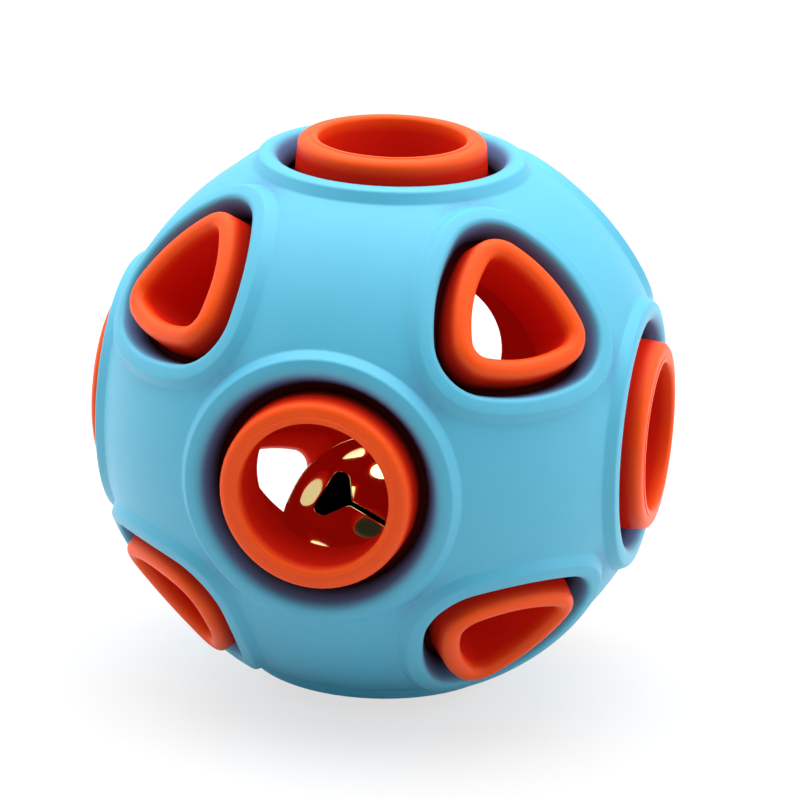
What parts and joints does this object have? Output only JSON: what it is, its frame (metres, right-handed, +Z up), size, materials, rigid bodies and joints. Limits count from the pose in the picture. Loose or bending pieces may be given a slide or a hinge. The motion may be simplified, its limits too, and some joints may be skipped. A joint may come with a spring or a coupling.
{
  "type": "pet chew ball",
  "caption": "Hollow pierced rubber chew ball: an outer shell, an inner ball whose collars stand in the shell's round and triangular holes, and a loose jingle bell that rattles inside.",
  "frame": {"origin": "centre of the ball", "axes": "+Z up through the top and bottom round holes, the front round hole faces -Y"},
  "size_m": [0.063, 0.063, 0.063],
  "materials": {
    "blue_rubber": "satin moulded rubber, sky blue",
    "orange_rubber": "satin moulded rubber, orange red",
    "gilt_steel": "bright gold plating",
    "bright_steel": "plain bright steel"
  },
  "bodies": {
    "inner_ball": {"inner_ball_upper": "orange_rubber", "inner_ball_lower": "orange_rubber"},
    "outer_shell": {"outer_shell_upper": "blue_rubber", "outer_shell_lower": "blue_rubber"},
    "bell": {"bell_plain_cup": "gilt_steel", "bell_slotted_cup": "gilt_steel", "bell_loop": "gilt_steel"},
    "pellet": {"bell_pellet": "bright_steel"}
  },
  "joints": [
    {"name": "shell_twist", "type": "hinge", "parent": "inner_ball", "child": "outer_shell", "pos_m": [0, 0, 0], "axis": [0, 0, 1], "range_deg": [-1, 1]},
    {"name": "bell_hop", "type": "slide", "parent": "inner_ball", "child": "bell", "axis": [0, 0, 1], "range_m": [0, 0.0306]},
    {"name": "pellet_roll", "type": "hinge", "parent": "bell", "child": "pellet", "pos_m": [0, 0, -0.01531], "axis": [0.3643, -0.85, 0.3806], "continuous": true}
  ]
}
